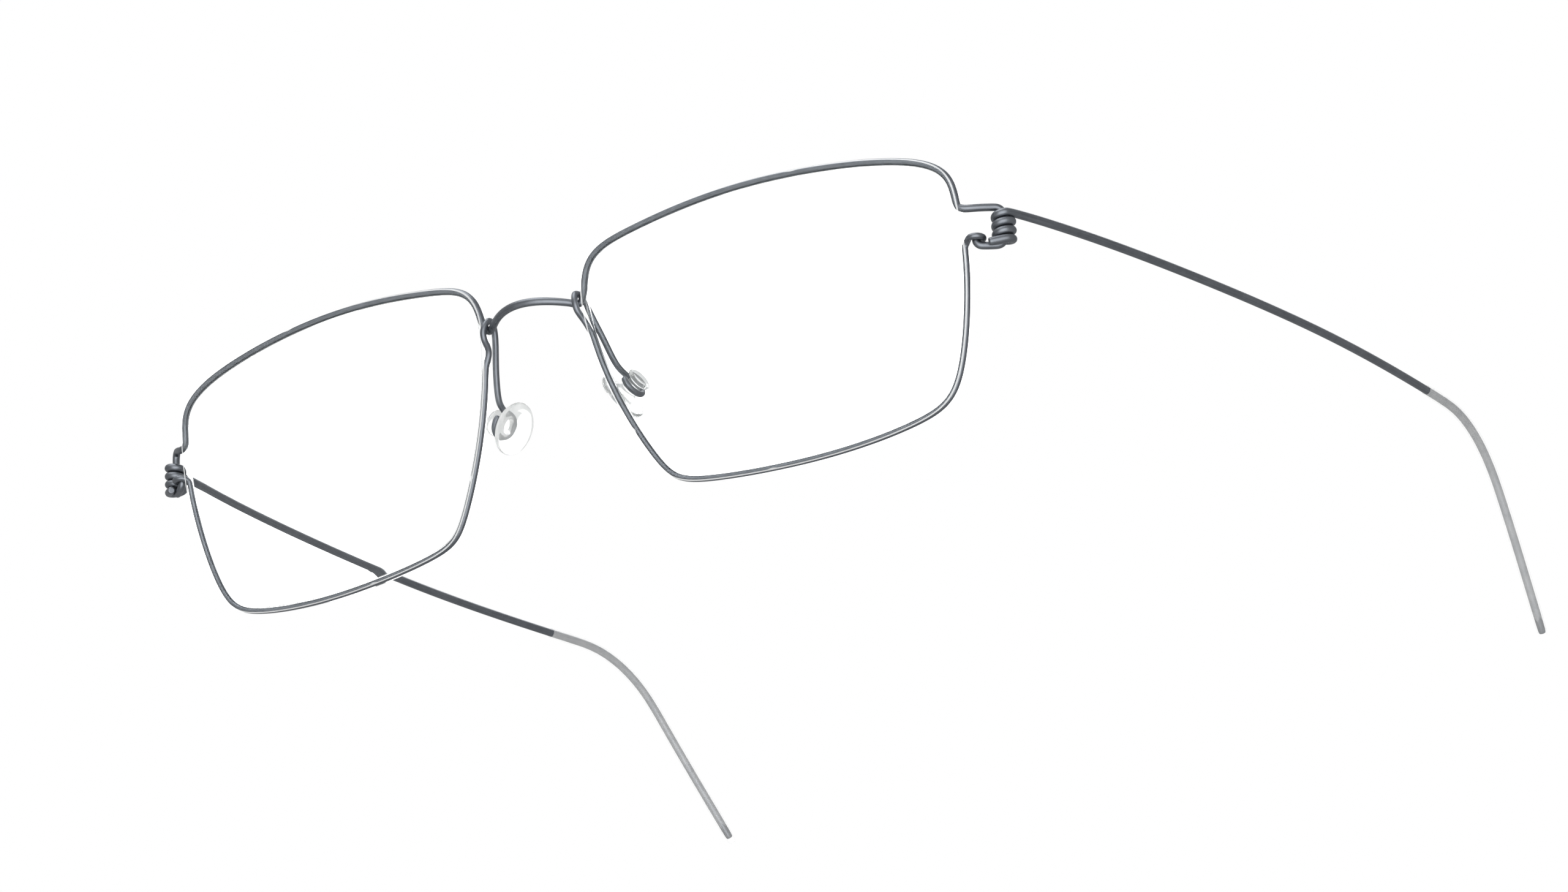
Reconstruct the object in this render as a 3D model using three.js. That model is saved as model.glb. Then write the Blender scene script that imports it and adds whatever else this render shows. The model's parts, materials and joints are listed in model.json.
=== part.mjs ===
// Wire spectacles: one front wire, two lower rim wires, two temple wires, clear lenses, tips and pads.
// Millimetres. +Z up, the front faces -Y, the temples run to +Y, +X is the wearer's left.
import * as THREE from 'three';

// ---- driving dimensions ----
const frontWireDiameter = 0.94;
const lowerWireDiameter = 0.8;
const templeWireDiameter = 1.05;
const runningClearance = 0.04;

const lensWidth = 52.8;           // across the wire's centre line
const lensHeight = 35.3;
const lensWall = 0.1;             // lens material on each side of the groove
const lensRadius = 609;           // of the sphere that the lens is cut from
const lensWrap = 4.92;            // degrees, temple side swept back
const lensTilt = 9.88;            // degrees, top leaning forward
const lensLip = 0.33;             // edge of the lens outside the wire's centre line
const bridgeGap = 16.1;           // between the two wire centre lines at the nose
const lensMiddleHeight = 16.5;
const lensSetBack = 5.25;         // lens middle behind the bridge's datum plane

const bridgeBow = 2.69;           // bridge middle ahead of its ends
const bridgeRise = 0.57;          // bridge middle above its ends
const archGap = 0.03;             // between the bridge loop and the lower wire's arch round it

const pinSetOut = 4.3;            // hinge pin outside the lens edge
const pinSetBack = 1.755;         // hinge pin behind the lens edge
const bendLeg = 1.1;              // straight taken up by each bend of the pin
const coilPasses = 3;
const coilGap = 0.07;             // between neighbouring passes
const coilHeadGap = 0.2;          // between the pin's upper bend and the coil
const endpieceRise = { left: 0.15, right: 1.1 };  // pin's upper bend above the bend at the lens
const footReach = 3;              // pin to the upturned hook of its foot

const templeReach = 94.8;         // pin to the start of the ear bend
const earBendRadius = 18.5;
const earBendAngle = 51;          // degrees
const earDropLength = 21.6;       // straight end beyond the ear bend

const sleeveDiameter = 1.68;
const sleeveStart = 88;           // pin to the sleeve's mouth
const sleeveCover = 1.0;          // closed end beyond the wire

const padAxis = new THREE.Vector3(-0.88, 0.03, -0.475).normalize();
const padButtonRadius = 1.71;
const padNeckRadius = 1.0;
const padLength = 3.75;           // button's outer face to the dish's rim
const padRadius = 3.45;
const padThickness = 0.95;

const sides = 8;                  // facets round a wire
const loopSteps = 76;             // facets round a lens

// ---- small helpers ----
const radians = THREE.MathUtils.degToRad;
const v = (x, y, z) => new THREE.Vector3(x, y, z);
const mirrored = (points, side) => points.map((p) => v(p.x * side, p.y, p.z));

// A curve whose stations are exactly the given points, so bends can be finer than straights.
class StationCurve extends THREE.Curve {
  constructor(points) {
    super();
    this.points = points.filter((p, i) => i === 0 || p.distanceTo(points[i - 1]) > 1e-3);
  }
  getPoint(t) {
    const scaled = t * (this.points.length - 1);
    const index = Math.min(Math.floor(scaled), this.points.length - 2);
    return this.points[index].clone().lerp(this.points[index + 1], scaled - index);
  }
  getPointAt(t) {
    return this.getPoint(t);
  }
  getSpacedPoints() {
    return this.points.map((p) => p.clone());
  }
  getTangentAt(t) {
    const last = this.points.length - 1;
    const index = Math.round(t * last);
    const ahead = this.points[Math.min(index + 1, last)].clone().sub(this.points[Math.min(index, last - 1)]);
    const behind = this.points[Math.max(index, 1)].clone().sub(this.points[Math.max(index - 1, 0)]);
    return ahead.normalize().add(behind.normalize()).normalize();
  }
}

// Round wire along the stations, with flat cut ends.
function wireGeometry(points, diameter) {
  const path = new StationCurve(points);
  const section = Array.from({ length: sides }, (_, i) => {
    const angle = (2 * Math.PI * i) / sides;
    return new THREE.Vector2(Math.cos(angle), Math.sin(angle)).multiplyScalar(diameter / 2);
  });
  const settings = { steps: path.points.length - 1, extrudePath: path, bevelEnabled: false };
  return new THREE.ExtrudeGeometry(new THREE.Shape(section), settings);
}

// Smooth run through a few points, split into even steps.
function smoothRun(points, steps) {
  return new THREE.CatmullRomCurve3(points, false, 'centripetal').getPoints(steps);
}

// Closed skin through rings of equal count; the first and last ring are fanned to their middles.
function ringGeometry(rings) {
  const count = rings[0].length;
  const positions = rings.flat().flatMap((p) => [p.x, p.y, p.z]);
  const indices = [];
  for (let r = 0; r < rings.length - 1; r += 1) {
    for (let i = 0; i < count; i += 1) {
      const a = r * count + i;
      const b = r * count + ((i + 1) % count);
      indices.push(a, b, a + count, b, b + count, a + count);
    }
  }
  const fans = [[0, true], [rings.length - 1, false]];
  for (const [r, first] of fans) {
    const middle = rings[r].reduce((sum, p) => sum.add(p), v(0, 0, 0)).divideScalar(count);
    const hub = positions.length / 3;
    positions.push(middle.x, middle.y, middle.z);
    for (let i = 0; i < count; i += 1) {
      const a = r * count + i;
      const b = r * count + ((i + 1) % count);
      indices.push(...(first ? [b, a, hub] : [a, b, hub]));
    }
  }
  if (signedVolume(positions, indices) < 0) {
    indices.reverse();
  }
  const geometry = new THREE.BufferGeometry();
  geometry.setAttribute('position', new THREE.Float32BufferAttribute(positions, 3));
  geometry.setIndex(indices);
  geometry.computeVertexNormals();
  return geometry;
}

function signedVolume(positions, indices) {
  const corner = (k) => v().fromArray(positions, indices[k] * 3);
  let volume = 0;
  for (let k = 0; k < indices.length; k += 3) {
    volume += corner(k).dot(corner(k + 1).cross(corner(k + 2)));
  }
  return volume;
}

// ---- lens outline: a closed cubic B-spline, as shares of half the width and half the height ----
const outlineShape = [
  [0.98, 0.085], [0.858, -0.782], [0.68, -0.929], [0.118, -1.031], [-0.623, -0.963], [-0.737, -0.85],
  [-0.999, -0.091], [-1.09, 0.793], [-0.801, 0.895], [-0.095, 1.054], [0.934, 0.861], [0.942, 0.516],
];

function outlineAt(t) {
  const count = outlineShape.length;
  const span = (((t % 1) + 1) % 1) * count;
  const first = Math.floor(span);
  const f = span - first;
  const weights = [(1 - f) ** 3, 3 * f ** 3 - 6 * f ** 2 + 4, -3 * f ** 3 + 3 * f ** 2 + 3 * f + 1, f ** 3];
  const point = new THREE.Vector2();
  weights.forEach((weight, k) => {
    const [across, up] = outlineShape[(first + k) % count];
    point.x += (weight / 6) * across * (lensWidth / 2);
    point.y += (weight / 6) * up * (lensHeight / 2);
  });
  return point;
}

const lensMiddle = v(bridgeGap / 2 + lensWidth * 0.516, lensSetBack, lensMiddleHeight);
const acrossAxis = v(Math.cos(radians(lensWrap)), Math.sin(radians(lensWrap)), 0);
const upAxis = v(0, -Math.sin(radians(lensTilt)), Math.cos(radians(lensTilt)));
upAxis.addScaledVector(acrossAxis, -upAxis.dot(acrossAxis)).normalize();
const backAxis = upAxis.clone().cross(acrossAxis);

// Point on the lens sphere at (across, up), moved back by depth.
function lensPoint(across, up, depth = 0) {
  const sag = (across ** 2 + up ** 2) / (2 * lensRadius);
  return lensMiddle.clone().addScaledVector(acrossAxis, across).addScaledVector(upAxis, up)
    .addScaledVector(backAxis, depth + sag);
}

function outlinePoint(t, outward = 0, depth = 0) {
  const here = outlineAt(t);
  const along = outlineAt(t + 1e-4).sub(outlineAt(t - 1e-4)).normalize();
  return lensPoint(here.x - along.y * -outward * turnSign, here.y - along.x * outward * turnSign, depth);
}

// +1 where the outline runs so that its outer side is on the left hand of travel, else -1.
const turnSign = (() => {
  let area = 0;
  for (let i = 0; i < loopSteps; i += 1) {
    area += outlineAt(i / loopSteps).cross(outlineAt((i + 1) / loopSteps));
  }
  return area > 0 ? 1 : -1;
})();

// Stations on the outline between two places given as across and up shares, along the outline's run.
function outlineRun(from, to) {
  const nearest = ([across, up]) => {
    const target = new THREE.Vector2((across * lensWidth) / 2, (up * lensHeight) / 2);
    let best = 0;
    for (let i = 0; i < loopSteps; i += 1) {
      if (outlineAt(i / loopSteps).distanceTo(target) < outlineAt(best / loopSteps).distanceTo(target)) {
        best = i;
      }
    }
    return best;
  };
  const start = nearest(from);
  const steps = (nearest(to) - start + loopSteps) % loopSteps;
  return Array.from({ length: steps + 1 }, (_, i) => outlinePoint((start + i) / loopSteps));
}

// ---- lens with the wire groove in its edge ----
function lensGeometry(side) {
  const thickest = Math.max(frontWireDiameter, lowerWireDiameter);
  const groove = (thickest / 2 + runningClearance) / Math.cos(Math.PI / sides);
  const half = groove + lensWall;
  const face = (share, depth) => Array.from({ length: loopSteps }, (_, i) => {
    const p = outlineAt(i / loopSteps).multiplyScalar(share);
    return lensPoint(p.x, p.y, depth);
  });
  const edge = (outward, depth) => Array.from({ length: loopSteps }, (_, i) => (
    outlinePoint(i / loopSteps, outward, depth)));
  const grooveWall = [-90, -135, -180, -225, -270].map((angle) => (
    edge(groove * Math.cos(radians(angle)), groove * Math.sin(radians(angle)))));
  const rings = [
    face(0.3, -half), face(0.65, -half), edge(lensLip, -half), edge(lensLip, -groove),
    ...grooveWall,
    edge(lensLip, groove), edge(lensLip, half), face(0.65, half), face(0.3, half),
  ];
  return ringGeometry(rings.map((ring) => mirrored(ring, side)));
}

// ---- hinge ----
const outlineAcross = Array.from({ length: loopSteps }, (_, i) => outlineAt(i / loopSteps).x);
const lensOuter = Math.max(...outlineAcross);
const lensInner = Math.min(...outlineAcross);
const upperEnds = { temple: [0.95, 0.46], nose: [-1.038, 0.53] };    // where the front wire leaves the lens
const lowerEnds = { temple: [0.96, 0.18], nose: [-1.02, 0.2] };      // where the lower wire leaves it

const templeEdge = lensPoint(lensOuter, 0);
const noseEdge = lensPoint(lensInner, 0);
const pin = v(templeEdge.x + pinSetOut, templeEdge.y + pinSetBack, 0);
const rimBend = lensPoint(lensOuter + 0.62, (upperEnds.temple[1] * lensHeight) / 2 - 0.5, 0.05);
const coilRadius = frontWireDiameter / 2 + runningClearance + templeWireDiameter / 2;
const coilPitch = templeWireDiameter + coilGap;
const coilTop = rimBend.z + endpieceRise.left - (frontWireDiameter + templeWireDiameter) / 2 - coilHeadGap;
const stubDrop = 0.38;            // end of the stop stub below the coil's last pass
const footHeight = coilTop - (coilPasses - 0.1) * coilPitch - stubDrop - 0.08;
const hookReach = (lowerWireDiameter + frontWireDiameter) / 2 + runningClearance;
// Where the two wires' hooks meet.
const hookMiddle = v(pin.x - 2.72, pin.y - 2.08, footHeight + hookReach + 0.03);

function quarterBend(from, corner, to) {
  return new THREE.QuadraticBezierCurve3(from, corner, to).getPoints(6);
}

// Pin-side end of the front wire, from its hooked tip up to the bend beside the lens.
function hingeRun(rise) {
  const head = v(pin.x, pin.y, rimBend.z + rise);
  const foot = v(pin.x, pin.y, footHeight);
  const inward = rimBend.clone().sub(head).setZ(0).normalize();
  const along = (out, up) => foot.clone().addScaledVector(inward, out).add(v(0, 0, up));
  const hooked = smoothRun([
    hookMiddle.clone().addScaledVector(inward, -0.06).add(v(0, 0, 0.38)), hookMiddle,
    hookMiddle.clone().addScaledVector(inward, -0.05).setZ(foot.z + 0.45),
    along(footReach, 0.07), along(footReach - 0.6, 0), along(bendLeg, 0),
  ], 14);
  const footBend = quarterBend(hooked.at(-1), foot, v(foot.x, foot.y, foot.z + bendLeg));
  const headEnd = head.clone().addScaledVector(inward, bendLeg);
  const headBend = quarterBend(v(head.x, head.y, head.z - bendLeg), head, headEnd);
  const kink = rimBend.clone().lerp(head, 0.33).add(v(0, -0.15, 0.05));
  return [...hooked, ...footBend, ...headBend, kink, rimBend];
}

// ---- front wire ----
const loopLow = outlineRun(upperEnds.nose, upperEnds.nose)[0].add(v(-0.906, 0.236, -1.61));
const bridgeEnd = loopLow.clone().add(v(-1.184, -0.596, 0.18));       // the bridge starts beside each loop

function bridgePoint(share) {
  const bowed = 1 - share ** 2;
  return v(bridgeEnd.x * share, bridgeEnd.y - bridgeBow * bowed, bridgeEnd.z + bridgeRise * bowed);
}

function frontHalf(rise) {
  const rim = outlineRun(upperEnds.nose, upperEnds.temple).reverse();
  const hinge = hingeRun(rise);
  const halfway = hinge.at(-1).clone().lerp(rim[0], 0.55).addScaledVector(acrossAxis, -0.08);
  const out = loopLow.clone().lerp(bridgeEnd, 0.55).add(v(0, 0, -0.12));
  const loop = smoothRun([rim.at(-1), loopLow.clone().add(v(0.5, -0.09, 0.62)), loopLow, out, bridgeEnd], 12);
  return [...hinge, halfway, ...rim, ...loop, ...[0.8, 0.6, 0.4, 0.2].map(bridgePoint)];
}

function frontWire() {
  const left = frontHalf(endpieceRise.left);
  const right = mirrored(frontHalf(endpieceRise.right), -1).reverse();
  return wireGeometry([...left, bridgePoint(0), ...right], frontWireDiameter);
}

// ---- lower rim wire: hook, rim, arch over the bridge loop, pad arm and pad ring ----
const outOfLip = lensLip + lowerWireDiameter / 2;
const ringRadius = padNeckRadius + runningClearance * 2 + lowerWireDiameter / 2;
const padFace = noseEdge.clone().add(v(0.3, 4.9, -2.6));       // middle of the dish's flat face
const padButton = padFace.clone().addScaledVector(padAxis, -padLength);
const ringCentre = padButton.clone().addScaledVector(padAxis, 1.38);
const ringUp = v(0, 0, 1).addScaledVector(padAxis, -padAxis.z).normalize();
const ringBack = padAxis.clone().cross(ringUp);

function hookRun() {
  const start = outlineRun(lowerEnds.temple, lowerEnds.temple)[0];
  const loop = Array.from({ length: 11 }, (_, i) => {
    const angle = radians(95 - i * 23);
    return hookMiddle.clone().add(v(hookReach * Math.cos(angle), hookReach * Math.sin(angle), 0.02));
  });
  const end = loop[0].clone().add(v(-0.75, 0.05, -0.2));
  const rise = hookMiddle.z - start.z;
  const bend = start.clone().add(v(outOfLip - 0.47, -0.06, rise * 0.5));
  return [end, ...loop, ...smoothRun([loop.at(-1), bend, start], 6).slice(1)];
}

// The arch goes up in front of the bridge loop, over it and down behind it to the pad.
function padArmRun(rimEnd) {
  const reach = (frontWireDiameter + lowerWireDiameter) / 2 + archGap;
  const round = (x, y, z) => loopLow.clone().add(v(x, y, z));
  const kink = rimEnd.clone().lerp(loopLow, 0.42).add(v(0.4 - outOfLip, -0.02, 0));
  const arch = [
    kink, round(0.82 - outOfLip, -0.86, -1.2), round(0, -reach - 0.2, -0.3), round(-0.2, -reach, 0.62),
    round(-0.38, -0.4, reach + 0.32), round(-0.28, 0.42, reach + 0.3), round(-0.02, reach + 0.25, 0.4),
    round(0.25, reach + 0.75, -0.8),
  ];
  const ringStart = ringPoint(-8);
  const arm = [v(-1.12, -3.16, 4.32), v(-0.48, -2.11, 1.76), v(-0.22, -1.4, 0.78)];
  arm.forEach((p) => p.add(ringStart));
  return smoothRun([rimEnd, ...arch, ...arm, ringStart], 44).slice(1);
}

function ringPoint(angle) {
  return ringCentre.clone().addScaledVector(ringUp, ringRadius * Math.cos(radians(angle)))
    .addScaledVector(ringBack, ringRadius * Math.sin(radians(angle)));
}

function lowerWire(side) {
  const rim = outlineRun(lowerEnds.temple, lowerEnds.nose);
  const ring = Array.from({ length: 18 }, (_, i) => ringPoint(9 + i * 17));
  const points = [...hookRun(), ...rim.slice(1), ...padArmRun(rim.at(-1)), ...ring];
  return wireGeometry(mirrored(points, side), lowerWireDiameter);
}

// ---- temple wire: stop stub, coil, temple and ear bend ----
const bowAt = [[14, 3.6], [36, 6.15], [63, 7.6], [91, 6.4], [110, 4.25], [124, 1.7]];
const templeHeight = coilTop + 0.45;
const coilExit = 17.5;            // degrees past the outer side where the temple leaves the coil
const stubAngle = 51;             // degrees past the outer side where the stop stub leaves
const stubLength = 1.95;

// Side profile of the temple: straight, ear bend, straight end.
function templeProfile(distance) {
  const bendLength = radians(earBendAngle) * earBendRadius;
  if (distance <= templeReach) {
    return { back: distance, height: templeHeight };
  }
  const angle = Math.min((distance - templeReach) / earBendRadius, radians(earBendAngle));
  const past = Math.max(distance - templeReach - bendLength, 0);
  return {
    back: templeReach + earBendRadius * Math.sin(angle) + past * Math.cos(angle),
    height: templeHeight - earBendRadius * (1 - Math.cos(angle)) - past * Math.sin(angle),
  };
}

function templePoint(distance) {
  const { back, height } = templeProfile(distance);
  return v(pin.x + bow(back), pin.y + back, height);
}

// Outward bow of the temple at a distance behind the pin.
function bow(back) {
  const points = bowAt.map(([x, y]) => v(x, y, 0));
  const curve = new THREE.CatmullRomCurve3([v(2, 1.25, 0), ...points], false, 'centripetal');
  let [low, high] = [0, 1];
  for (let i = 0; i < 30; i += 1) {
    const middle = (low + high) / 2;
    [low, high] = curve.getPoint(middle).x < back ? [middle, high] : [low, middle];
  }
  return curve.getPoint(low).y;
}

function coilPoint(turned) {
  const angle = radians(-turned);
  const height = coilTop - ((turned - 90) / 360) * coilPitch;
  return v(pin.x + coilRadius * Math.cos(angle), pin.y + coilRadius * Math.sin(angle), height);
}

const wireLength = templeReach + radians(earBendAngle) * earBendRadius + earDropLength;
const bendStations = [3.5, 8, 16, 27, 39, 51, 63, 75, 85, 92, 96, 99, 102, 105, 108, 111, 114, 120, 126];

function templeStations(from, to) {
  return [from, ...bendStations.filter((d) => d > from + 0.5 && d < to - 0.5), to].map(templePoint);
}

function templeWire(side) {
  const lastTurn = coilPasses * 360 + stubAngle;
  const turns = Math.round((lastTurn - coilExit) / 22.5);
  const step = (lastTurn - coilExit) / turns;
  const coil = Array.from({ length: turns + 1 }, (_, i) => coilPoint(coilExit + step * i));
  const away = v(-Math.sin(radians(stubAngle)), -Math.cos(radians(stubAngle)), -stubDrop / stubLength);
  const stub = coil.at(-1).clone().addScaledVector(away, stubLength);
  const arm = templeStations(3.5, wireLength).reverse();
  return wireGeometry(mirrored([...arm, ...coil, stub], side), templeWireDiameter);
}

// ---- clear sleeve with a bore for the temple wire ----
function tipSleeve(side) {
  const bore = (templeWireDiameter / 2 + runningClearance) / Math.cos(Math.PI / sides);
  const outer = sleeveDiameter / 2;
  const covered = templeStations(sleeveStart, wireLength);
  const end = templePoint(wireLength + sleeveCover);
  const inside = new StationCurve(mirrored(covered, side));
  const outside = new StationCurve(mirrored([...covered, end], side));
  const rings = (curve, radius) => {
    const steps = curve.points.length - 1;
    const frames = curve.computeFrenetFrames(steps, false);
    return curve.points.map((p, k) => Array.from({ length: sides }, (_, i) => {
      const angle = (2 * Math.PI * i) / sides;
      return p.clone().addScaledVector(frames.normals[k], radius * Math.cos(angle))
        .addScaledVector(frames.binormals[k], radius * Math.sin(angle));
    }));
  };
  const boreRings = rings(inside, bore).reverse();
  const outerRings = rings(outside, outer);
  const tip = outerRings.pop();
  const middle = outside.points.at(-1);
  const domed = tip.map((p) => middle.clone().lerp(p, 0.55));
  const deep = inside.points.at(-1).clone().sub(inside.points.at(-2)).setLength(0.12);
  boreRings[0] = boreRings[0].map((p) => p.clone().add(deep));
  return ringGeometry([...boreRings, ...outerRings, domed]);
}

// ---- nose pad: button, neck through the wire ring, round dish ----
function nosePad(side) {
  const profile = [
    [0, padButtonRadius * 0.8], [0.2, padButtonRadius], [0.45, padButtonRadius], [0.6, padNeckRadius],
    [padLength - padThickness - 0.75, padNeckRadius], [padLength - padThickness - 0.1, padRadius * 0.45],
    [padLength - 0.6, padRadius * 0.88], [padLength - 0.3, padRadius],
    [padLength, padRadius * 0.95], [padLength, padRadius * 0.5],
  ];
  const rings = profile.map(([along, radius]) => Array.from({ length: 24 }, (_, i) => {
    const angle = (2 * Math.PI * i) / 24;
    return padButton.clone().addScaledVector(padAxis, along).addScaledVector(ringUp, radius * Math.cos(angle))
      .addScaledVector(ringBack, radius * Math.sin(angle));
  }));
  return ringGeometry(rings.map((points) => mirrored(points, side)));
}

// ---- materials ----
const wireMetal = () => new THREE.MeshStandardMaterial({ color: 0x62666e, roughness: 0.42, metalness: 0.9 });
const clearLens = () => new THREE.MeshStandardMaterial({
  color: 0xf4f7f8, roughness: 0.05, metalness: 0, transparent: true, opacity: 0.25,
});
const clearSilicone = () => new THREE.MeshStandardMaterial({
  color: 0xeef0f0, roughness: 0.25, metalness: 0, transparent: true, opacity: 0.45,
});

// ---- assembly ----
const glasses = new THREE.Group();

function place(name, geometry, material) {
  const mesh = new THREE.Mesh(geometry, material);
  mesh.name = name;
  glasses.add(mesh);
}

place('front_wire', frontWire(), wireMetal());
for (const [name, side] of [['left', 1], ['right', -1]]) {
  place(`lower_rim_wire_${name}`, lowerWire(side), wireMetal());
  place(`lens_${name}`, lensGeometry(side), clearLens());
  place(`nose_pad_${name}`, nosePad(side), clearSilicone());
  place(`temple_wire_${name}`, templeWire(side), wireMetal());
  place(`tip_sleeve_${name}`, tipSleeve(side), clearSilicone());
}

// The origin is the middle of the footprint, on the surface that the glasses stand on.
const box = new THREE.Box3().setFromObject(glasses);
const middle = box.getCenter(new THREE.Vector3());
glasses.position.set(-middle.x, -middle.y, -box.min.z);

export default glasses;
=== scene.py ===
import json
import math
import bmesh
import bpy
from mathutils import Matrix, Vector


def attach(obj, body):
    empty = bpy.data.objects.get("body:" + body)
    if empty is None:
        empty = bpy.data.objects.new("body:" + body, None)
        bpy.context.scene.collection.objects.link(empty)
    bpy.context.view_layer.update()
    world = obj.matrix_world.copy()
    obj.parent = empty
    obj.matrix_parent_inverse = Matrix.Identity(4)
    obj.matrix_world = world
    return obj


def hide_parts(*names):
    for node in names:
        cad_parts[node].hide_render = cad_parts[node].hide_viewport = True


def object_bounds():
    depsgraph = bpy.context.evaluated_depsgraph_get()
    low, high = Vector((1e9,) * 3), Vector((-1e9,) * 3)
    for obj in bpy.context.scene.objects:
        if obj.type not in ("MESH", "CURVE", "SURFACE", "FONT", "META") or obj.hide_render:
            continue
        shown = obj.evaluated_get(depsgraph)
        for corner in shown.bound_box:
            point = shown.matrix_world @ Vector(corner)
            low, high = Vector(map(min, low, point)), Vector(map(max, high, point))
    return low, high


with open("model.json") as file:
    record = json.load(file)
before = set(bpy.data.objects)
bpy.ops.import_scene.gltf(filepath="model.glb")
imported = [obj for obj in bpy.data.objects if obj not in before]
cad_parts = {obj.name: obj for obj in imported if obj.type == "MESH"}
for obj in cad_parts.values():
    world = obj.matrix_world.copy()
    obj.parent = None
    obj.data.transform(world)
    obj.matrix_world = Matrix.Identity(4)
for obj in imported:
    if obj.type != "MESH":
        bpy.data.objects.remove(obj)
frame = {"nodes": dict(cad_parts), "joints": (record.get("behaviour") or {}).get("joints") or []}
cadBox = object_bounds()
nodes = frame["nodes"]
joints = {joint["name"]: joint for joint in frame["joints"]}
mm = 0.001


def linear(hexColour):
    # sRGB hex to the linear colour that a shader socket wants
    parts = [int(hexColour[i:i + 2], 16) / 255 for i in (1, 3, 5)]
    return [c / 12.92 if c <= 0.04045 else ((c + 0.055) / 1.055) ** 2.4 for c in parts] + [1.0]


def addNode(tree, kind, settings=None, **links):
    # one node with its settings; a link is a value for a socket, or the socket that feeds it
    node = tree.nodes.new(kind)
    for key, value in (settings or {}).items():
        setattr(node, key, value)
    for socket, value in links.items():
        target = node.inputs[int(socket[1:])] if socket[0] == "n" and socket[1:].isdigit() else None
        target = target or node.inputs[socket.replace("_", " ")]
        if isinstance(value, bpy.types.NodeSocket):
            tree.links.new(value, target)
        else:
            target.default_value = value
    return node


def newMaterial(name):
    material = bpy.data.materials.new(name)
    material.use_nodes = True
    tree = material.node_tree
    tree.nodes.clear()
    return material, tree


def setRamp(node, stops):
    ramp = node.color_ramp
    while len(ramp.elements) < len(stops):
        ramp.elements.new(0.5)
    for element, (place, colour) in zip(ramp.elements, stops):
        element.position = place
        element.color = linear(colour)


def onlySelect(piece):
    bpy.ops.object.select_all(action="DESELECT")
    piece.select_set(True)
    bpy.context.view_layer.objects.active = piece


def applyModifier(piece, kind, settings):
    onlySelect(piece)
    modifier = piece.modifiers.new(kind.title(), kind)
    for key, value in settings.items():
        setattr(modifier, key, value)
    bpy.ops.object.modifier_apply(modifier=modifier.name)


def subdivide(piece, levels):
    applyModifier(piece, "SUBSURF", {"levels": levels, "render_levels": levels})


copySetup = {
    "mergeWithin": 0.002,     # mm
    "flatWithin": 50,         # degrees between two triangles that become one four-sided face
    "squareWithin": 178,      # degrees that its corners may be off a right angle
}


def startFrom(node, name):
    # a new piece with the node's own shape, its loose triangles joined and turned back into quads
    piece = bpy.data.objects.new(name, nodes[node].data.copy())
    piece.data.name = name
    piece.data.materials.clear()
    bpy.context.scene.collection.objects.link(piece)
    onlySelect(piece)
    bpy.ops.mesh.customdata_custom_splitnormals_clear()
    bpy.ops.object.mode_set(mode="EDIT")
    bpy.ops.mesh.select_all(action="SELECT")
    bpy.ops.mesh.remove_doubles(threshold=copySetup["mergeWithin"] * mm)
    bpy.ops.mesh.mark_sharp(clear=True)
    bpy.ops.mesh.tris_convert_to_quads(face_threshold=math.radians(copySetup["flatWithin"]),
                                       shape_threshold=math.radians(copySetup["squareWithin"]))
    bpy.ops.object.mode_set(mode="OBJECT")
    return piece


def settle(piece, node, body, slot, *materials):
    # what every finished piece needs: its finish, the body it moves with, the part it stands for
    for material in materials:
        piece.data.materials.append(material)
    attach(piece, body)
    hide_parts(node)
    bpy.ops.object.select_all(action="DESELECT")


cameraSetup = {
    "place": (0.45612, -0.66853, -0.26632),  # metres; it looks up at the glasses from below
    "turn": 34.75,                            # degrees, as are the next two
    "lookUp": 19.91,
    "roll": -2.87,
    "focalLength": 150.47,                    # mm, on a 36 mm wide sensor
    "nearest": 0.01,                          # metres; anything nearer is cut off
}
cameraData = bpy.data.cameras.new("camera")
cameraData.lens = cameraSetup["focalLength"]
cameraData.clip_start = cameraSetup["nearest"]
camera = bpy.data.objects.new("camera", cameraData)
bpy.context.scene.collection.objects.link(camera)
camera.matrix_world = (
    Matrix.Translation(cameraSetup["place"])
    @ Matrix.Rotation(math.radians(cameraSetup["turn"]), 4, "Z")
    @ Matrix.Rotation(math.radians(90 + cameraSetup["lookUp"]), 4, "X")
    @ Matrix.Rotation(math.radians(cameraSetup["roll"]), 4, "Z")
)
bpy.context.scene.camera = camera
print("camera placed")


noiseSpan = (0.3, 0.7)        # nearly all of a noise pattern lies between these


# Titanium wire, drawn and satin finished with a thin grey coat: a soft slate grey, with a broad dull
# highlight that breaks up into faint lines along the wire where the die has drawn them.
wireFinish = {
    "colours": [(0.32, "#70747a"), (0.5, "#7c8086"), (0.68, "#898d93")],
    "roughness": (0.36, 0.48),
    "lineWidth": 0.16,        # mm between drawn lines; really about 0.03, too fine to show
    "lineLength": 7.0,        # mm
    "lineDepth": 0.004,       # mm
    "lineStrength": 0.5,
    "cloudSize": 1.1,         # mm, the coat's faint unevenness
    "cloudShare": 0.35,       # of the pattern; the drawn lines are the rest
}


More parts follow.
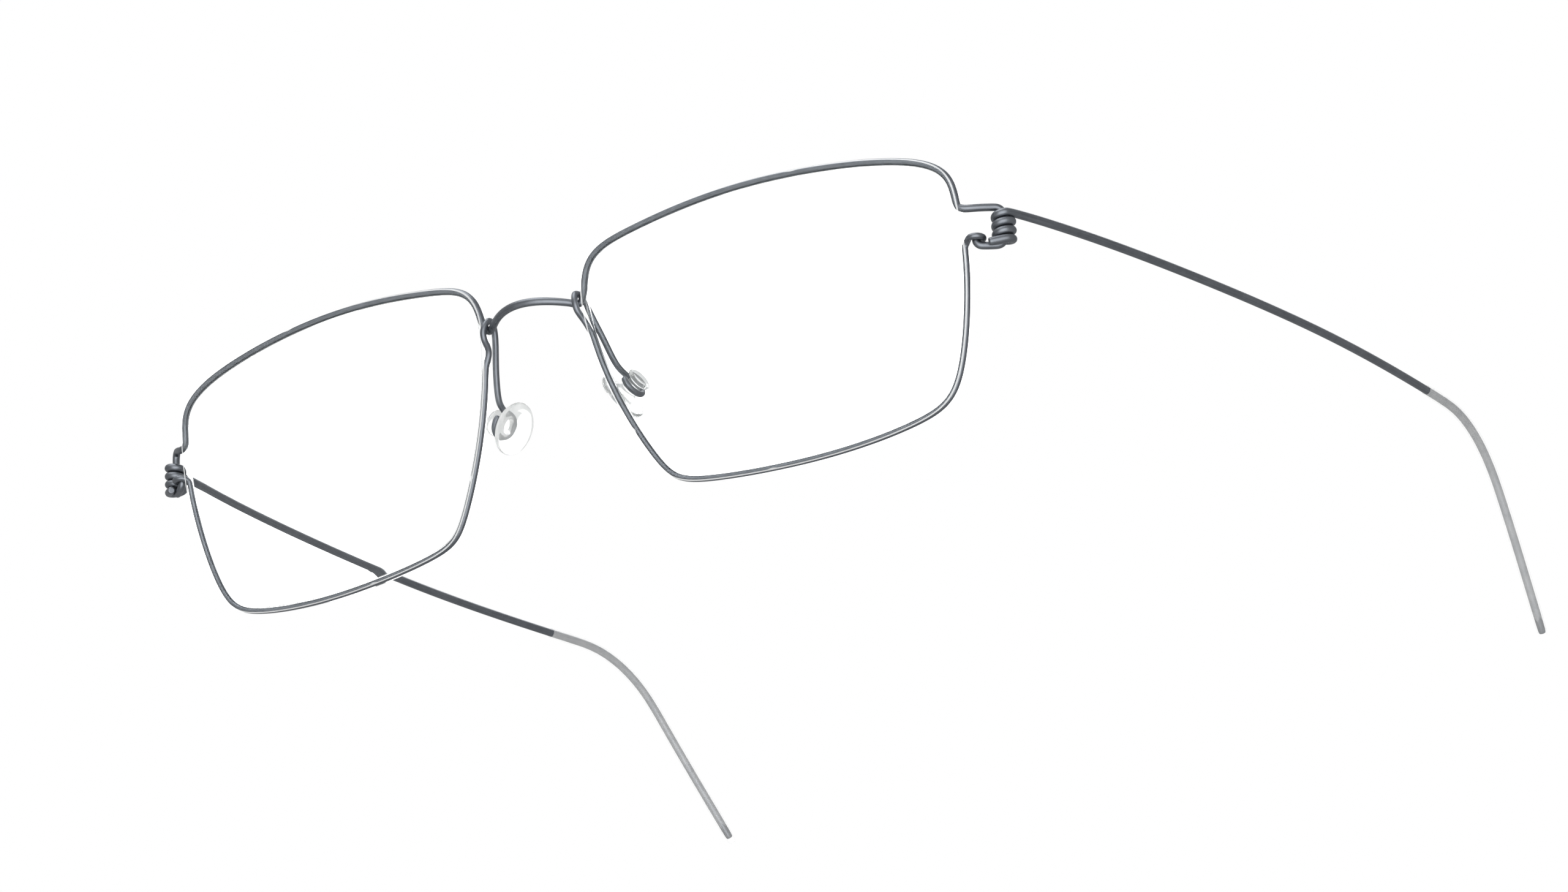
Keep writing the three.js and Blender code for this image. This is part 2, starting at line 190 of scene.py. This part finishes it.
def makeWireMaterial():
    finish = wireFinish
    material, tree = newMaterial("satin drawn titanium")
    place = addNode(tree, "ShaderNodeUVMap", {"uv_map": "alongWire"})
    stretch = addNode(tree, "ShaderNodeMapping", Vector=place.outputs[0],
                      Scale=(1000 / finish["lineWidth"], 1000 / finish["lineLength"], 1))
    lines = addNode(tree, "ShaderNodeTexNoise", Vector=stretch.outputs[0], Scale=1.0, Detail=2.0)
    where = addNode(tree, "ShaderNodeTexCoord")
    cloud = addNode(tree, "ShaderNodeTexNoise", Vector=where.outputs["Object"],
                    Scale=1000 / finish["cloudSize"], Detail=3.0)
    blend = addNode(tree, "ShaderNodeMix", {"data_type": "FLOAT"}, n0=finish["cloudShare"],
                    n2=lines.outputs[0], n3=cloud.outputs[0])
    colour = addNode(tree, "ShaderNodeValToRGB", Fac=blend.outputs[0])
    setRamp(colour, finish["colours"])
    rough = addNode(tree, "ShaderNodeMapRange", Value=blend.outputs[0],
                    From_Min=noiseSpan[0], From_Max=noiseSpan[1],
                    To_Min=finish["roughness"][0], To_Max=finish["roughness"][1])
    bump = addNode(tree, "ShaderNodeBump", Height=lines.outputs[0], Strength=finish["lineStrength"],
                   Distance=finish["lineDepth"] * mm)
    shader = addNode(tree, "ShaderNodeBsdfPrincipled", Base_Color=colour.outputs[0], Metallic=1.0,
                     Roughness=rough.outputs[0], Normal=bump.outputs[0])
    addNode(tree, "ShaderNodeOutputMaterial", Surface=shader.outputs[0])
    return material


# Optical resin, cast and polished: all but invisible, it shows by the wires bent in its edge and by
# thin bright and dark lines along its corners. The polish is not quite even.
lensFinish = {
    "tint": "#fcfdfd",
    "ior": 1.07,              # the resin's own is 1.5, which would darken the edge far too much here
    "coat": 0.22,
    "coatRoughness": 0.01,
    "haze": (0.0, 0.006),     # roughness where the polish is best and least
    "hazeSize": 6.0,          # mm
}


def makeLensMaterial():
    finish = lensFinish
    material, tree = newMaterial("polished optical resin")
    where = addNode(tree, "ShaderNodeTexCoord")
    haze = addNode(tree, "ShaderNodeTexNoise", Vector=where.outputs["Object"],
                   Scale=1000 / finish["hazeSize"], Detail=3.0)
    rough = addNode(tree, "ShaderNodeMapRange", Value=haze.outputs[0],
                    From_Min=noiseSpan[0], From_Max=noiseSpan[1],
                    To_Min=finish["haze"][0], To_Max=finish["haze"][1])
    shader = addNode(tree, "ShaderNodeBsdfPrincipled", Base_Color=linear(finish["tint"]),
                     Roughness=rough.outputs[0], IOR=finish["ior"], Transmission_Weight=1.0,
                     Coat_Weight=finish["coat"], Coat_Roughness=finish["coatRoughness"])
    addNode(tree, "ShaderNodeOutputMaterial", Surface=shader.outputs[0])
    return material


# The same resin where the edge is ground to hold the wire, painted white there: a painted highlight standing
# in for the thin bright line the light makes along the edge beside the wire.
edgeHighlightFinish = {
    "colour": "#fbfcfc",
    "roughness": (0.35, 0.6),
    "grit": 0.25,             # mm; a wheel's is about 0.05, too fine to show
    "cover": 0.42,            # how much of what is behind the edge the painted white hides
}


def makePaintedEdgeHighlightMaterial():
    finish = edgeHighlightFinish
    material, tree = newMaterial("resin edge with painted highlight")
    where = addNode(tree, "ShaderNodeTexCoord")
    grit = addNode(tree, "ShaderNodeTexNoise", Vector=where.outputs["Object"],
                   Scale=1000 / finish["grit"], Detail=2.0)
    rough = addNode(tree, "ShaderNodeMapRange", Value=grit.outputs[0],
                    From_Min=noiseSpan[0], From_Max=noiseSpan[1],
                    To_Min=finish["roughness"][0], To_Max=finish["roughness"][1])
    # white and partly covering: a painted highlight along the lens edge
    shader = addNode(tree, "ShaderNodeBsdfPrincipled", Base_Color=linear(finish["colour"]),
                     Roughness=rough.outputs[0], Alpha=finish["cover"])
    addNode(tree, "ShaderNodeOutputMaterial", Surface=shader.outputs[0])
    return material


# Clear silicone, moulded: soft pale edges, a greasy shine, and what is behind it bent and greyed.
padFinish = {
    "colours": [(0.35, "#e0e2e2"), (0.65, "#eff0f0")],
    "ior": 1.18,              # silicone's own is 1.41, which would turn this small a part into dark rings
    "roughness": (0.05, 0.12),
    "passes": 0.78,           # share of light that goes through; the rest makes it a little milky
    "cloudSize": 1.2,         # mm
}


def makePadMaterial():
    finish = padFinish
    material, tree = newMaterial("clear moulded silicone")
    where = addNode(tree, "ShaderNodeTexCoord")
    cloud = addNode(tree, "ShaderNodeTexNoise", Vector=where.outputs["Object"],
                    Scale=1000 / finish["cloudSize"], Detail=2.0)
    colour = addNode(tree, "ShaderNodeValToRGB", Fac=cloud.outputs[0])
    setRamp(colour, finish["colours"])
    rough = addNode(tree, "ShaderNodeMapRange", Value=cloud.outputs[0],
                    From_Min=noiseSpan[0], From_Max=noiseSpan[1],
                    To_Min=finish["roughness"][0], To_Max=finish["roughness"][1])
    shader = addNode(tree, "ShaderNodeBsdfPrincipled", Base_Color=colour.outputs[0],
                     Roughness=rough.outputs[0], IOR=finish["ior"],
                     Transmission_Weight=finish["passes"])
    addNode(tree, "ShaderNodeOutputMaterial", Surface=shader.outputs[0])
    return material


# Silicone tube, extruded, slightly milky: the wire shows through it as a washed-out light grey.
sleeveFinish = {
    "colours": [(0.35, "#f0f1f2"), (0.65, "#ffffff")],
    "ior": 1.41,
    "roughness": 0.32,
    "cover": 0.14,            # how much of what is behind each wall hides
    "cloudSize": 1.5,         # mm
}


def makeSleeveMaterial():
    finish = sleeveFinish
    material, tree = newMaterial("milky silicone tube")
    where = addNode(tree, "ShaderNodeTexCoord")
    cloud = addNode(tree, "ShaderNodeTexNoise", Vector=where.outputs["Object"],
                    Scale=1000 / finish["cloudSize"], Detail=2.0)
    colour = addNode(tree, "ShaderNodeValToRGB", Fac=cloud.outputs[0])
    setRamp(colour, finish["colours"])
    shader = addNode(tree, "ShaderNodeBsdfPrincipled", Base_Color=colour.outputs[0],
                     Roughness=finish["roughness"], IOR=finish["ior"], Alpha=finish["cover"])
    addNode(tree, "ShaderNodeOutputMaterial", Surface=shader.outputs[0])
    return material


wireMaterial = makeWireMaterial()
lensMaterial = makeLensMaterial()
edgeHighlightMaterial = makePaintedEdgeHighlightMaterial()
padMaterial = makePadMaterial()
sleeveMaterial = makeSleeveMaterial()
print("materials made")


# each wire: the part it is made from, the body it moves with, and how thick it is in mm
wireSet = {
    "frontWire": {"from": "front_wire", "body": "front", "diameter": 0.94},
    "lowerRimWireLeft": {"from": "lower_rim_wire_left", "body": "front", "diameter": 0.8},
    "lowerRimWireRight": {"from": "lower_rim_wire_right", "body": "front", "diameter": 0.8},
    "templeWireLeft": {"from": "temple_wire_left", "body": "temple_left", "diameter": 1.05},
    "templeWireRight": {"from": "temple_wire_right", "body": "temple_right", "diameter": 1.05},
}
wireShape = {
    "sides": 8,               # round the wire, as the part has them
    "pressedHalf": 5.2,       # mm each side of the middle, where the bridge is pressed into a flatter band
    "pressed": 0.12,          # share by which it is taller and thinner there
    "pressStart": 2.5,        # how fast that comes in; at 2.5 it is all there at two fifths of the way
    "capFlatness": 2,         # degrees; triangles flatter than this to each other are one cut end
    "endRounding": 0.1,       # mm, at the cut ends
    "fill": 0.0955,           # share of the radius that smoothing takes off, given back after it
    "smoothing": 2,
}


def openCaps(piece):
    # each cut end becomes one flat face again
    onlySelect(piece)
    bpy.ops.object.mode_set(mode="EDIT")
    bpy.ops.mesh.select_mode(type="FACE")
    bpy.ops.mesh.select_all(action="DESELECT")
    bpy.ops.mesh.select_face_by_sides(number=3, extend=False)
    bpy.ops.mesh.faces_select_linked_flat(sharpness=math.radians(wireShape["capFlatness"]))
    bpy.ops.mesh.dissolve_faces()
    bpy.ops.object.mode_set(mode="OBJECT")


def pressRing(ring, middle, ahead, amount):
    # one ring of the wire made taller and thinner, as a press would
    side = ahead.cross(Vector((0, 0, 1))).normalized()
    up = side.cross(ahead)
    for vert in ring:
        offset = vert.co - middle
        vert.co += up * offset.dot(up) * amount - side * offset.dot(side) * amount


def layAlongWire(piece, sides, radius):
    # u goes round the wire and back, v goes along it, both in metres, so drawn lines follow every bend
    mesh = bmesh.new()
    mesh.from_mesh(piece.data)
    cap = next(face for face in mesh.faces if len(face.verts) == sides)
    ring = list(cap.verts)
    place = {}
    rings = []
    along = 0.0
    while ring:
        for i, vert in enumerate(ring):
            place[vert] = (min(i, sides - i) * 2 * math.pi * radius / sides, along)
        unvisited = [[edge.other_vert(vert) for edge in vert.link_edges if edge.other_vert(vert) not in place]
                     for vert in ring]
        if not all(len(found) == 1 for found in unvisited):
            break
        following = [found[0] for found in unvisited]
        middle = sum((vert.co for vert in ring), Vector()) / sides
        ahead = sum((vert.co for vert in following), Vector()) / sides - middle
        along += ahead.length
        rings.append((ring, middle, ahead.normalized()))
        ring = following
    layer = mesh.loops.layers.uv.new("alongWire")
    for face in mesh.faces:
        for loop in face.loops:
            loop[layer].uv = place[loop.vert]
    for ring, middle, ahead in rings:
        share = 1 - abs(middle.x) / (wireShape["pressedHalf"] * mm)
        if share > 0:
            pressRing(ring, middle, ahead, wireShape["pressed"] * min(1, share * wireShape["pressStart"]))
    mesh.to_mesh(piece.data)
    mesh.free()
    return along


def makeWire(name, wire):
    radius = wire["diameter"] / 2 * mm
    piece = startFrom(wire["from"], name)
    openCaps(piece)
    length = layAlongWire(piece, wireShape["sides"], radius)
    onlySelect(piece)
    bpy.ops.object.mode_set(mode="EDIT")
    bpy.ops.mesh.select_mode(type="FACE")
    bpy.ops.mesh.select_all(action="DESELECT")
    bpy.ops.mesh.select_face_by_sides(number=wireShape["sides"], extend=False)
    bpy.ops.mesh.inset(thickness=wireShape["endRounding"] * mm)
    bpy.ops.object.mode_set(mode="OBJECT")
    subdivide(piece, wireShape["smoothing"])
    applyModifier(piece, "DISPLACE", {"strength": wireShape["fill"] * radius, "mid_level": 0.0})
    onlySelect(piece)
    bpy.ops.object.shade_smooth()
    settle(piece, wire["from"], wire["body"], "wire", wireMaterial)
    print("wire", name, round(length / mm, 1), "mm long")


for name, wire in wireSet.items():
    makeWire(name, wire)


lensShape = {
    "creaseAngle": 50,        # degrees; sharper edges than this are held while the rest is smoothed
    "crease": 0.9,
    "smoothing": 2,
    "cornerAngle": 35,        # degrees; sharper edges than this are shaded as corners
    "lipWall": 0.13,          # mm; the strips beside the groove are a little narrower
}


def makeLens(name, node):
    piece = startFrom(node, name)
    bpy.ops.object.mode_set(mode="EDIT")
    bpy.ops.mesh.select_mode(type="EDGE")
    bpy.ops.mesh.select_all(action="DESELECT")
    bpy.ops.mesh.edges_select_sharp(sharpness=math.radians(lensShape["creaseAngle"]))
    bpy.ops.transform.edge_crease(value=lensShape["crease"])
    bpy.ops.object.mode_set(mode="OBJECT")
    # the lip's outer walls are thin strips between two sharp edges; they take the edge's painted highlight
    for face in piece.data.polygons:
        corners = [piece.data.vertices[i].co for i in face.vertices]
        lengths = [(corner - corners[i - 1]).length for i, corner in enumerate(corners)]
        face.material_index = 1 if sorted(lengths)[1] < lensShape["lipWall"] * mm else 0
    subdivide(piece, lensShape["smoothing"])
    onlySelect(piece)
    bpy.ops.object.shade_smooth_by_angle(angle=math.radians(lensShape["cornerAngle"]))
    settle(piece, node, "front", "lens", lensMaterial, edgeHighlightMaterial)


makeLens("lensLeft", "lens_left")
makeLens("lensRight", "lens_right")
print("lenses made")


sleeveShape = {"smoothing": 2}


def makeSleeve(name, node, body):
    piece = startFrom(node, name)
    subdivide(piece, sleeveShape["smoothing"])
    onlySelect(piece)
    bpy.ops.object.shade_smooth()
    settle(piece, node, body, "silicone", sleeveMaterial)


makeSleeve("tipSleeveLeft", "tip_sleeve_left", "temple_left")
makeSleeve("tipSleeveRight", "tip_sleeve_right", "temple_right")
print("sleeves made")


padShape = {
    "around": 48,
    # (mm from the button's face towards the nose, radius in mm): button, neck, back of the dish, rim, face
    "profile": [
        (0.10, 0.55), (0.06, 1.10), (0.02, 1.32), (0.10, 1.56), (0.30, 1.69), (0.48, 1.62), (0.60, 1.30),
        (0.70, 1.02), (0.90, 0.98), (1.95, 0.98), (2.20, 1.06), (2.50, 1.42), (2.74, 2.05), (2.92, 2.75),
        (3.08, 3.22), (3.30, 3.43), (3.50, 3.42), (3.66, 3.28), (3.73, 3.02), (3.70, 2.40), (3.67, 2.22),
        (3.69, 2.12), (3.66, 1.40), (3.62, 0.60),
    ],
    "endInset": 0.25,         # mm; holds the two closing faces flat while the rest is smoothed
    "smoothing": 1,
}


def makePad(name, node, joint, body):
    bpy.ops.object.select_all(action="DESELECT")
    profile = padShape["profile"]
    bpy.ops.mesh.primitive_circle_add(vertices=padShape["around"], radius=profile[0][1] * mm,
                                      fill_type="NGON", location=(0, 0, 0))
    piece = bpy.context.object
    piece.name = name
    bpy.ops.object.mode_set(mode="EDIT")
    bpy.ops.mesh.select_mode(type="EDGE")
    bpy.ops.mesh.select_all(action="SELECT")
    bpy.ops.transform.translate(value=(0, 0, profile[0][0] * mm))
    for (lastHeight, lastRadius), (height, radius) in zip(profile, profile[1:]):
        bpy.ops.mesh.extrude_edges_move(TRANSFORM_OT_translate={"value": (0, 0, (height - lastHeight) * mm)})
        grow = radius / lastRadius
        bpy.ops.transform.resize(value=(grow, grow, 1), center_override=(0, 0, 0))
    bpy.ops.mesh.edge_face_add()
    bpy.ops.mesh.select_all(action="SELECT")
    bpy.ops.mesh.normals_make_consistent(inside=False)
    bpy.ops.mesh.select_mode(type="FACE")
    bpy.ops.mesh.select_all(action="DESELECT")
    bpy.ops.mesh.select_face_by_sides(number=padShape["around"], extend=False)
    bpy.ops.mesh.inset(thickness=padShape["endInset"] * mm)
    bpy.ops.object.mode_set(mode="OBJECT")
    subdivide(piece, padShape["smoothing"])
    # stand it on the pad's own turning axis, with its button where the part has it
    axis = Vector(joints[joint]["axis"]).normalized()
    centre = Vector(joints[joint]["pos_m"])
    start = min((vertex.co - centre).dot(axis) for vertex in nodes[node].data.vertices)
    turn = axis.to_track_quat("Z", "Y").to_matrix().to_4x4()
    piece.data.transform(Matrix.Translation(centre + axis * start) @ turn)
    onlySelect(piece)
    bpy.ops.object.shade_smooth()
    settle(piece, node, body, "silicone", padMaterial)


makePad("nosePadLeft", "nose_pad_left", "pad_turn_left", "nose_pad_left")
makePad("nosePadRight", "nose_pad_right", "pad_turn_right", "nose_pad_right")
print("nose pads made")


# Uncoated paper, matt: an even pale grey with a faint tooth.
floorSetup = {
    "size": 6.0,              # m across
    "below": 0.2,             # mm under the glasses' lowest point
    "colours": [(0.3, "#dfdfdd"), (0.7, "#e4e4e2")],
    "roughness": 0.8,
    "tooth": 2.5,             # mm; the fibres themselves are too fine to show
}


def makeFloor():
    bpy.ops.object.select_all(action="DESELECT")
    bpy.ops.mesh.primitive_plane_add(size=floorSetup["size"], location=(0, 0, -floorSetup["below"] * mm))
    floor = bpy.context.object
    floor.name = "paperFloor"
    material, tree = newMaterial("matt white paper")
    where = addNode(tree, "ShaderNodeTexCoord")
    tooth = addNode(tree, "ShaderNodeTexNoise", Vector=where.outputs["Object"],
                    Scale=1000 / floorSetup["tooth"], Detail=2.0)
    colour = addNode(tree, "ShaderNodeValToRGB", Fac=tooth.outputs[0])
    setRamp(colour, floorSetup["colours"])
    paper = addNode(tree, "ShaderNodeBsdfPrincipled", Base_Color=colour.outputs[0],
                    Roughness=floorSetup["roughness"])
    clear = addNode(tree, "ShaderNodeBsdfTransparent")
    side = addNode(tree, "ShaderNodeNewGeometry")
    # from underneath the paper isn't there, so the glasses can be seen from below
    mix = addNode(tree, "ShaderNodeMixShader", n0=side.outputs["Backfacing"], n1=paper.outputs[0],
                  n2=clear.outputs[0])
    addNode(tree, "ShaderNodeOutputMaterial", Surface=mix.outputs[0])
    floor.data.materials.append(material)
    floor.visible_glossy = False     # or the wires' undersides would shine as if lit from below
    floor.visible_shadow = False     # or it would shade the lamp that stands lower than it


makeFloor()
print("floor laid")


# square soft lamps: places and sizes in metres
lightSetup = {
    "front": {"place": (0.62, -1.10, -0.30), "size": 1.7, "watts": 19},
    "over": {"place": (-0.25, -0.45, 1.3), "size": 1.1, "watts": 9},
    "back": {"place": (-0.6, 1.15, 1.05), "size": 1.2, "watts": 9},
}
worldSetup = {
    "around": 0.42,           # how bright the room is in the metal's reflections
    "backdrop": 1.0,          # how bright it is behind the glasses, and through them
    "soft": 0.6,              # how much of the backdrop's light falls on matt things
}
bounces = {"all": 24, "through": 20, "clear": 24}    # light passes many clear walls in a row


def makeLight():
    target = (cadBox[0] + cadBox[1]) / 2
    for name, lamp in lightSetup.items():
        data = bpy.data.lights.new(name, "AREA")
        data.shape = "SQUARE"
        data.size = lamp["size"]
        data.energy = lamp["watts"]
        light = bpy.data.objects.new(name, data)
        bpy.context.scene.collection.objects.link(light)
        light.location = lamp["place"]
        light.rotation_mode = "QUATERNION"
        light.rotation_quaternion = (target - Vector(lamp["place"])).to_track_quat("-Z", "Y")


def makeWorld():
    world = bpy.data.worlds.new("studio")
    bpy.context.scene.world = world
    world.use_nodes = True
    tree = world.node_tree
    tree.nodes.clear()
    room = addNode(tree, "ShaderNodeBackground", Color=(1, 1, 1, 1), Strength=worldSetup["around"])
    backdrop = addNode(tree, "ShaderNodeBackground", Color=(1, 1, 1, 1), Strength=worldSetup["backdrop"])
    path = addNode(tree, "ShaderNodeLightPath")
    seen = addNode(tree, "ShaderNodeMath", {"operation": "MAXIMUM"}, n0=path.outputs["Is Camera Ray"],
                   n1=path.outputs["Is Transmission Ray"])
    soft = addNode(tree, "ShaderNodeMath", {"operation": "MULTIPLY"}, n0=path.outputs["Is Diffuse Ray"],
                   n1=worldSetup["soft"])
    share = addNode(tree, "ShaderNodeMath", {"operation": "MAXIMUM"}, n0=seen.outputs[0], n1=soft.outputs[0])
    mix = addNode(tree, "ShaderNodeMixShader", n0=share.outputs[0], n1=room.outputs[0],
                  n2=backdrop.outputs[0])
    addNode(tree, "ShaderNodeOutputWorld", Surface=mix.outputs[0])


makeLight()
makeWorld()
scene = bpy.context.scene
scene.view_settings.view_transform = "Standard"
scene.cycles.max_bounces = bounces["all"]
scene.cycles.transmission_bounces = bounces["through"]
scene.cycles.transparent_max_bounces = bounces["clear"]
print("lights set")
